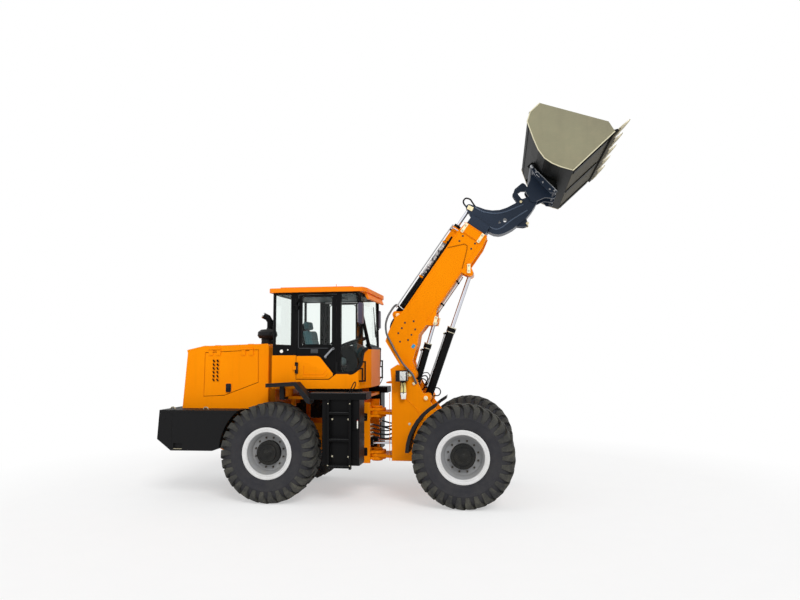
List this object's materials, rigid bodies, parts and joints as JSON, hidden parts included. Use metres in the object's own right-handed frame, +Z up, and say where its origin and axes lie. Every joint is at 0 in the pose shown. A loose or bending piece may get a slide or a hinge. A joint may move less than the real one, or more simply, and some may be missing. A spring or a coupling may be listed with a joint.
{
  "type": "articulated telescopic loader",
  "caption": "Articulated loader with a closed cab, rear engine, two-section telescopic boom, quick coupler and a toothed digging bucket held high.",
  "frame": {"origin": "middle of the machine's footprint box on the ground, from counterweight to tooth tips", "axes": "+X forward to the bucket, +Y to the driver's left, +Z up"},
  "size_m": [6.4336, 2.25, 5.2939],
  "materials": {
    "orange_paint": "gloss orange enamel, orange peel and dust",
    "black_paint": "satin black paint",
    "cast_black": "black painted casting",
    "slate_paint": "satin blue-grey enamel",
    "bucket_paint": "satin olive tan enamel, dusty",
    "tooth_steel": "worn cast steel",
    "tyre_rubber": "dusty black rubber",
    "rim_silver": "silver grey enamel",
    "rod_chrome": "polished hard chrome",
    "pipe_steel": "zinc plated pipe",
    "safety_glass": "clear flat safety glass",
    "seat_cloth": "dark grey woven cloth",
    "black_plastic": "textured black plastic",
    "lamp_plastic": "black housing with clear lens"
  },
  "bodies": {
    "rear_chassis": {"rear_frame": "orange_paint", "rear_axle": "cast_black", "counterweight": "cast_black", "engine_block": "cast_black", "engine_hood": "orange_paint", "radiator_grille": "black_paint", "air_precleaner": "black_plastic", "exhaust_stack": "black_paint", "cab_body": "orange_paint", "cab_frame": "black_paint", "cab_roof": "orange_paint", "cab_glass": "safety_glass", "driver_seat": "seat_cloth", "steering_console": "black_plastic", "side_platforms": "black_paint", "side_boxes": "black_paint", "side_ladders": "black_paint", "rear_fenders": "black_paint", "cab_mirrors": "black_plastic", "grab_rails": "black_paint"},
    "right_door": {"right_door": "black_paint", "right_door_glass": "safety_glass"},
    "left_door": {"left_door": "black_paint", "left_door_glass": "safety_glass"},
    "right_engine_cover": {"right_engine_cover": "orange_paint"},
    "left_engine_cover": {"left_engine_cover": "orange_paint"},
    "front_chassis": {"front_frame": "orange_paint", "front_axle": "cast_black", "front_fenders": "black_paint", "front_lamps": "lamp_plastic"},
    "front_right_wheel": {"front_right_tyre": "tyre_rubber", "front_right_rim": "rim_silver"},
    "front_left_wheel": {"front_left_tyre": "tyre_rubber", "front_left_rim": "rim_silver"},
    "rear_right_wheel": {"rear_right_tyre": "tyre_rubber", "rear_right_rim": "rim_silver"},
    "rear_left_wheel": {"rear_left_tyre": "tyre_rubber", "rear_left_rim": "rim_silver"},
    "boom": {"outer_boom": "orange_paint", "extension_barrel": "black_paint", "boom_pipes": "pipe_steel"},
    "inner_boom": {"inner_boom": "slate_paint", "gooseneck_head": "slate_paint", "extension_rod": "rod_chrome"},
    "tilt_lever": {"tilt_lever": "slate_paint"},
    "tilt_link": {"tilt_link": "slate_paint"},
    "bucket": {"quick_coupler": "slate_paint", "bucket_shell": "bucket_paint", "bucket_teeth": "tooth_steel"},
    "lift_barrel": {"lift_barrel": "black_paint"},
    "lift_rod": {"lift_rod": "rod_chrome"},
    "levelling_barrel": {"levelling_barrel": "black_paint"},
    "levelling_rod": {"levelling_rod": "rod_chrome"},
    "right_steering_barrel": {"right_steering_barrel": "black_paint"},
    "right_steering_rod": {"right_steering_rod": "rod_chrome"},
    "left_steering_barrel": {"left_steering_barrel": "black_paint"},
    "left_steering_rod": {"left_steering_rod": "rod_chrome"}
  },
  "joints": [
    {"name": "articulation", "type": "hinge", "parent": "rear_chassis", "child": "front_chassis", "pos_m": [-0.24479, 0, 0.7], "axis": [0, 0, 1], "range_deg": [-35, 35]},
    {"name": "front_right_wheel_spin", "type": "hinge", "parent": "front_chassis", "child": "front_right_wheel", "pos_m": [1.08021, -0.8525, 0.675], "axis": [0, 1, 0], "continuous": true},
    {"name": "front_left_wheel_spin", "type": "hinge", "parent": "front_chassis", "child": "front_left_wheel", "pos_m": [1.08021, 0.8525, 0.675], "axis": [0, 1, 0], "continuous": true},
    {"name": "rear_right_wheel_spin", "type": "hinge", "parent": "rear_chassis", "child": "rear_right_wheel", "pos_m": [-1.56979, -0.8525, 0.675], "axis": [0, 1, 0], "continuous": true},
    {"name": "rear_left_wheel_spin", "type": "hinge", "parent": "rear_chassis", "child": "rear_left_wheel", "pos_m": [-1.56979, 0.8525, 0.675], "axis": [0, 1, 0], "continuous": true},
    {"name": "right_door_hinge", "type": "hinge", "parent": "rear_chassis", "child": "right_door", "pos_m": [-1.25679, -0.794, 2.2], "axis": [0, 0, -1], "range_deg": [0, 85]},
    {"name": "left_door_hinge", "type": "hinge", "parent": "rear_chassis", "child": "left_door", "pos_m": [-1.25679, 0.794, 2.2], "axis": [0, 0, 1], "range_deg": [0, 85]},
    {"name": "right_engine_cover_hinge", "type": "hinge", "parent": "rear_chassis", "child": "right_engine_cover", "pos_m": [-2.16979, -0.632, 2.094], "axis": [-1, 0, 0], "range_deg": [0, 70]},
    {"name": "left_engine_cover_hinge", "type": "hinge", "parent": "rear_chassis", "child": "left_engine_cover", "pos_m": [-2.16979, 0.632, 2.094], "axis": [1, 0, 0], "range_deg": [0, 70]},
    {"name": "boom_lift", "type": "hinge", "parent": "front_chassis", "child": "boom", "pos_m": [0.29521, 0, 1.717], "axis": [0, -1, 0], "range_deg": [-83, 4]},
    {"name": "boom_extend", "type": "slide", "parent": "boom", "child": "inner_boom", "axis": [0.5764, 0, 0.8171], "range_m": [0, 1.1]},
    {"name": "bucket_tilt", "type": "hinge", "parent": "inner_boom", "child": "bucket", "pos_m": [2.10411, 0, 4.2726], "axis": [0, 1, 0], "range_deg": [-45, 82]},
    {"name": "tilt_lever_swing", "type": "hinge", "parent": "inner_boom", "child": "tilt_lever", "pos_m": [1.91886, 0, 4.22338], "axis": [0, 1, 0], "range_deg": [-46, 83]},
    {"name": "tilt_link_swing", "type": "hinge", "parent": "tilt_lever", "child": "tilt_link", "pos_m": [1.83904, 0, 4.34443], "axis": [0, 1, 0], "range_deg": [-83, 46]},
    {"name": "lift_barrel_swing", "type": "hinge", "parent": "front_chassis", "child": "lift_barrel", "pos_m": [0.52521, 0, 1.385], "axis": [0, -1, 0], "range_deg": [-86.19, 5.11]},
    {"name": "lift_rod_slide", "type": "slide", "parent": "lift_barrel", "child": "lift_rod", "axis": [0.3333, 0, 0.9428], "range_m": [-0.5366, 0.0306]},
    {"name": "levelling_barrel_swing", "type": "hinge", "parent": "front_chassis", "child": "levelling_barrel", "pos_m": [0.35521, 0, 1.59], "axis": [0, -1, 0], "range_deg": [-82.37, 4.92]},
    {"name": "levelling_rod_slide", "type": "slide", "parent": "levelling_barrel", "child": "levelling_rod", "axis": [0.2873, 0, 0.9578], "range_m": [-0.1896, 0.0139]},
    {"name": "right_steering_barrel_swing", "type": "hinge", "parent": "rear_chassis", "child": "right_steering_barrel", "pos_m": [-0.72479, -0.215, 0.73], "axis": [0, 0, 1], "range_deg": [-14.7, 14.7]},
    {"name": "right_steering_rod_slide", "type": "slide", "parent": "right_steering_barrel", "child": "right_steering_rod", "axis": [0.9991, 0.0432, 0], "range_m": [-0.1215, 0.1215]},
    {"name": "left_steering_barrel_swing", "type": "hinge", "parent": "rear_chassis", "child": "left_steering_barrel", "pos_m": [-0.72479, 0.215, 0.73], "axis": [0, 0, 1], "range_deg": [-14.7, 14.7]},
    {"name": "left_steering_rod_slide", "type": "slide", "parent": "left_steering_barrel", "child": "left_steering_rod", "axis": [0.9991, -0.0432, 0], "range_m": [-0.1215, 0.1215]}
  ],
  "couplings": [
    {"joint": "tilt_lever_swing", "follows": "bucket_tilt", "ratio": 1},
    {"joint": "tilt_link_swing", "follows": "bucket_tilt", "ratio": -1},
    {"joint": "lift_barrel_swing", "follows": "boom_lift", "ratio": 1.0264},
    {"joint": "lift_rod_slide", "follows": "boom_lift", "m_per_rad": 0.36697},
    {"joint": "levelling_barrel_swing", "follows": "boom_lift", "ratio": 0.98036},
    {"joint": "levelling_rod_slide", "follows": "boom_lift", "m_per_rad": 0.12746},
    {"joint": "right_steering_barrel_swing", "follows": "articulation", "ratio": 0.39143},
    {"joint": "right_steering_rod_slide", "follows": "articulation", "m_per_rad": 0.19066},
    {"joint": "left_steering_barrel_swing", "follows": "articulation", "ratio": 0.39143},
    {"joint": "left_steering_rod_slide", "follows": "articulation", "m_per_rad": -0.19066}
  ]
}
